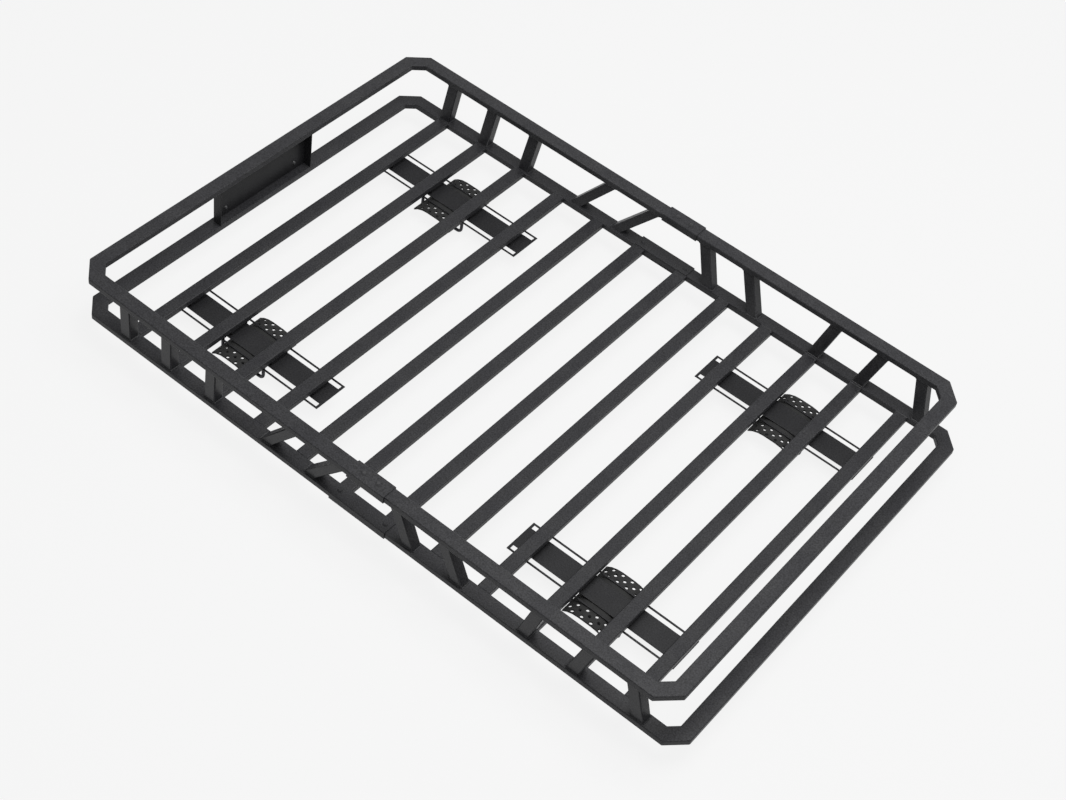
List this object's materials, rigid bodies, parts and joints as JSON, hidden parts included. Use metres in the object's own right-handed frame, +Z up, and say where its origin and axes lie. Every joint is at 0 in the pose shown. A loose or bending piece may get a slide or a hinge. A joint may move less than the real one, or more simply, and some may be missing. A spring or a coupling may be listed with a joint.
{
  "type": "roof cargo basket",
  "caption": "Low open roof cargo basket: two rail loops joined by leaning uprights, a slatted floor, and four slotted crossbar mounts.",
  "frame": {"origin": "under the middle of the lower rail loop, level with the undersides of the U-bolts", "axes": "+X towards the rear end, +Y towards the right side of the vehicle, +Z up"},
  "size_m": [1.669, 1.1396, 0.2059],
  "materials": {
    "frame_coating": "satin",
    "slat_coating": "satin",
    "plate_coating": "satin",
    "saddle_rubber": "matt",
    "fastener_steel": "black zinc plated"
  },
  "bodies": {
    "basket": {"top_rail_front": "frame_coating", "top_rail_rear": "frame_coating", "lower_frame_front": "frame_coating", "lower_frame_rear": "frame_coating", "floor_slat_01": "slat_coating", "floor_slat_02": "slat_coating", "floor_slat_03": "slat_coating", "floor_slat_04": "slat_coating", "floor_slat_05": "slat_coating", "floor_slat_06": "slat_coating", "floor_slat_07": "slat_coating", "floor_slat_08": "slat_coating", "floor_slat_09": "slat_coating", "floor_slat_10": "slat_coating", "floor_slat_11": "slat_coating", "floor_slat_12": "slat_coating", "front_panel": "plate_coating", "top_sleeve_left": "frame_coating", "lower_sleeve_left": "frame_coating", "top_screw_left_1": "fastener_steel", "top_screw_left_2": "fastener_steel", "top_sleeve_right": "frame_coating", "lower_sleeve_right": "frame_coating", "top_screw_right_1": "fastener_steel", "top_screw_right_2": "fastener_steel", "mount_plate_front_left": "plate_coating", "mount_plate_front_right": "plate_coating", "mount_plate_rear_left": "plate_coating", "mount_plate_rear_right": "plate_coating"},
    "clamp_front_left": {"rubber_saddle_front_left": "saddle_rubber"},
    "bolt_front_left_a": {"u_bolt_front_left_a": "fastener_steel"},
    "turning_nut_front_left_a1": {"nut_front_left_a1": "fastener_steel"},
    "turning_nut_front_left_a2": {"nut_front_left_a2": "fastener_steel"},
    "bolt_front_left_b": {"u_bolt_front_left_b": "fastener_steel"},
    "turning_nut_front_left_b1": {"nut_front_left_b1": "fastener_steel"},
    "turning_nut_front_left_b2": {"nut_front_left_b2": "fastener_steel"},
    "clamp_front_right": {"rubber_saddle_front_right": "saddle_rubber"},
    "bolt_front_right_a": {"u_bolt_front_right_a": "fastener_steel"},
    "turning_nut_front_right_a1": {"nut_front_right_a1": "fastener_steel"},
    "turning_nut_front_right_a2": {"nut_front_right_a2": "fastener_steel"},
    "bolt_front_right_b": {"u_bolt_front_right_b": "fastener_steel"},
    "turning_nut_front_right_b1": {"nut_front_right_b1": "fastener_steel"},
    "turning_nut_front_right_b2": {"nut_front_right_b2": "fastener_steel"},
    "clamp_rear_left": {"rubber_saddle_rear_left": "saddle_rubber"},
    "bolt_rear_left_a": {"u_bolt_rear_left_a": "fastener_steel"},
    "turning_nut_rear_left_a1": {"nut_rear_left_a1": "fastener_steel"},
    "turning_nut_rear_left_a2": {"nut_rear_left_a2": "fastener_steel"},
    "bolt_rear_left_b": {"u_bolt_rear_left_b": "fastener_steel"},
    "turning_nut_rear_left_b1": {"nut_rear_left_b1": "fastener_steel"},
    "turning_nut_rear_left_b2": {"nut_rear_left_b2": "fastener_steel"},
    "clamp_rear_right": {"rubber_saddle_rear_right": "saddle_rubber"},
    "bolt_rear_right_a": {"u_bolt_rear_right_a": "fastener_steel"},
    "turning_nut_rear_right_a1": {"nut_rear_right_a1": "fastener_steel"},
    "turning_nut_rear_right_a2": {"nut_rear_right_a2": "fastener_steel"},
    "bolt_rear_right_b": {"u_bolt_rear_right_b": "fastener_steel"},
    "turning_nut_rear_right_b1": {"nut_rear_right_b1": "fastener_steel"},
    "turning_nut_rear_right_b2": {"nut_rear_right_b2": "fastener_steel"}
  },
  "joints": [
    {"name": "clamp_slide_front_left", "type": "slide", "parent": "basket", "child": "clamp_front_left", "axis": [1, 0, 0], "range_m": [-0.12, 0.15]},
    {"name": "turn_nut_front_left_a1", "type": "hinge", "parent": "clamp_front_left", "child": "turning_nut_front_left_a1", "pos_m": [-0.56562, -0.37875, 0.0518], "axis": [0, 0, 1], "range_deg": [0, 1440]},
    {"name": "turn_nut_front_left_a2", "type": "hinge", "parent": "clamp_front_left", "child": "turning_nut_front_left_a2", "pos_m": [-0.43992, -0.37875, 0.0518], "axis": [0, 0, 1], "range_deg": [0, 1440]},
    {"name": "drop_bolt_front_left_a", "type": "slide", "parent": "clamp_front_left", "child": "bolt_front_left_a", "axis": [0, 0, 1], "range_m": [-0.005, 0]},
    {"name": "turn_nut_front_left_b1", "type": "hinge", "parent": "clamp_front_left", "child": "turning_nut_front_left_b1", "pos_m": [-0.56562, -0.30725, 0.0518], "axis": [0, 0, 1], "range_deg": [0, 1440]},
    {"name": "turn_nut_front_left_b2", "type": "hinge", "parent": "clamp_front_left", "child": "turning_nut_front_left_b2", "pos_m": [-0.43992, -0.30725, 0.0518], "axis": [0, 0, 1], "range_deg": [0, 1440]},
    {"name": "drop_bolt_front_left_b", "type": "slide", "parent": "clamp_front_left", "child": "bolt_front_left_b", "axis": [0, 0, 1], "range_m": [-0.005, 0]},
    {"name": "clamp_slide_front_right", "type": "slide", "parent": "basket", "child": "clamp_front_right", "axis": [1, 0, 0], "range_m": [-0.12, 0.15]},
    {"name": "turn_nut_front_right_a1", "type": "hinge", "parent": "clamp_front_right", "child": "turning_nut_front_right_a1", "pos_m": [-0.56562, 0.30725, 0.0518], "axis": [0, 0, 1], "range_deg": [0, 1440]},
    {"name": "turn_nut_front_right_a2", "type": "hinge", "parent": "clamp_front_right", "child": "turning_nut_front_right_a2", "pos_m": [-0.43992, 0.30725, 0.0518], "axis": [0, 0, 1], "range_deg": [0, 1440]},
    {"name": "drop_bolt_front_right_a", "type": "slide", "parent": "clamp_front_right", "child": "bolt_front_right_a", "axis": [0, 0, 1], "range_m": [-0.005, 0]},
    {"name": "turn_nut_front_right_b1", "type": "hinge", "parent": "clamp_front_right", "child": "turning_nut_front_right_b1", "pos_m": [-0.56562, 0.37875, 0.0518], "axis": [0, 0, 1], "range_deg": [0, 1440]},
    {"name": "turn_nut_front_right_b2", "type": "hinge", "parent": "clamp_front_right", "child": "turning_nut_front_right_b2", "pos_m": [-0.43992, 0.37875, 0.0518], "axis": [0, 0, 1], "range_deg": [0, 1440]},
    {"name": "drop_bolt_front_right_b", "type": "slide", "parent": "clamp_front_right", "child": "bolt_front_right_b", "axis": [0, 0, 1], "range_m": [-0.005, 0]},
    {"name": "clamp_slide_rear_left", "type": "slide", "parent": "basket", "child": "clamp_rear_left", "axis": [1, 0, 0], "range_m": [-0.15, 0.12]},
    {"name": "turn_nut_rear_left_a1", "type": "hinge", "parent": "clamp_rear_left", "child": "turning_nut_rear_left_a1", "pos_m": [0.43992, -0.37875, 0.0518], "axis": [0, 0, 1], "range_deg": [0, 1440]},
    {"name": "turn_nut_rear_left_a2", "type": "hinge", "parent": "clamp_rear_left", "child": "turning_nut_rear_left_a2", "pos_m": [0.56562, -0.37875, 0.0518], "axis": [0, 0, 1], "range_deg": [0, 1440]},
    {"name": "drop_bolt_rear_left_a", "type": "slide", "parent": "clamp_rear_left", "child": "bolt_rear_left_a", "axis": [0, 0, 1], "range_m": [-0.005, 0]},
    {"name": "turn_nut_rear_left_b1", "type": "hinge", "parent": "clamp_rear_left", "child": "turning_nut_rear_left_b1", "pos_m": [0.43992, -0.30725, 0.0518], "axis": [0, 0, 1], "range_deg": [0, 1440]},
    {"name": "turn_nut_rear_left_b2", "type": "hinge", "parent": "clamp_rear_left", "child": "turning_nut_rear_left_b2", "pos_m": [0.56562, -0.30725, 0.0518], "axis": [0, 0, 1], "range_deg": [0, 1440]},
    {"name": "drop_bolt_rear_left_b", "type": "slide", "parent": "clamp_rear_left", "child": "bolt_rear_left_b", "axis": [0, 0, 1], "range_m": [-0.005, 0]},
    {"name": "clamp_slide_rear_right", "type": "slide", "parent": "basket", "child": "clamp_rear_right", "axis": [1, 0, 0], "range_m": [-0.15, 0.12]},
    {"name": "turn_nut_rear_right_a1", "type": "hinge", "parent": "clamp_rear_right", "child": "turning_nut_rear_right_a1", "pos_m": [0.43992, 0.30725, 0.0518], "axis": [0, 0, 1], "range_deg": [0, 1440]},
    {"name": "turn_nut_rear_right_a2", "type": "hinge", "parent": "clamp_rear_right", "child": "turning_nut_rear_right_a2", "pos_m": [0.56562, 0.30725, 0.0518], "axis": [0, 0, 1], "range_deg": [0, 1440]},
    {"name": "drop_bolt_rear_right_a", "type": "slide", "parent": "clamp_rear_right", "child": "bolt_rear_right_a", "axis": [0, 0, 1], "range_m": [-0.005, 0]},
    {"name": "turn_nut_rear_right_b1", "type": "hinge", "parent": "clamp_rear_right", "child": "turning_nut_rear_right_b1", "pos_m": [0.43992, 0.37875, 0.0518], "axis": [0, 0, 1], "range_deg": [0, 1440]},
    {"name": "turn_nut_rear_right_b2", "type": "hinge", "parent": "clamp_rear_right", "child": "turning_nut_rear_right_b2", "pos_m": [0.56562, 0.37875, 0.0518], "axis": [0, 0, 1], "range_deg": [0, 1440]},
    {"name": "drop_bolt_rear_right_b", "type": "slide", "parent": "clamp_rear_right", "child": "bolt_rear_right_b", "axis": [0, 0, 1], "range_m": [-0.005, 0]}
  ],
  "couplings": [
    {"joint": "turn_nut_front_left_a1", "follows": "drop_bolt_front_left_a", "rad_per_m": -5026.5},
    {"joint": "turn_nut_front_left_a2", "follows": "drop_bolt_front_left_a", "rad_per_m": -5026.5},
    {"joint": "turn_nut_front_left_b1", "follows": "drop_bolt_front_left_b", "rad_per_m": -5026.5},
    {"joint": "turn_nut_front_left_b2", "follows": "drop_bolt_front_left_b", "rad_per_m": -5026.5},
    {"joint": "turn_nut_front_right_a1", "follows": "drop_bolt_front_right_a", "rad_per_m": -5026.5},
    {"joint": "turn_nut_front_right_a2", "follows": "drop_bolt_front_right_a", "rad_per_m": -5026.5},
    {"joint": "turn_nut_front_right_b1", "follows": "drop_bolt_front_right_b", "rad_per_m": -5026.5},
    {"joint": "turn_nut_front_right_b2", "follows": "drop_bolt_front_right_b", "rad_per_m": -5026.5},
    {"joint": "turn_nut_rear_left_a1", "follows": "drop_bolt_rear_left_a", "rad_per_m": -5026.5},
    {"joint": "turn_nut_rear_left_a2", "follows": "drop_bolt_rear_left_a", "rad_per_m": -5026.5},
    {"joint": "turn_nut_rear_left_b1", "follows": "drop_bolt_rear_left_b", "rad_per_m": -5026.5},
    {"joint": "turn_nut_rear_left_b2", "follows": "drop_bolt_rear_left_b", "rad_per_m": -5026.5},
    {"joint": "turn_nut_rear_right_a1", "follows": "drop_bolt_rear_right_a", "rad_per_m": -5026.5},
    {"joint": "turn_nut_rear_right_a2", "follows": "drop_bolt_rear_right_a", "rad_per_m": -5026.5},
    {"joint": "turn_nut_rear_right_b1", "follows": "drop_bolt_rear_right_b", "rad_per_m": -5026.5},
    {"joint": "turn_nut_rear_right_b2", "follows": "drop_bolt_rear_right_b", "rad_per_m": -5026.5}
  ]
}
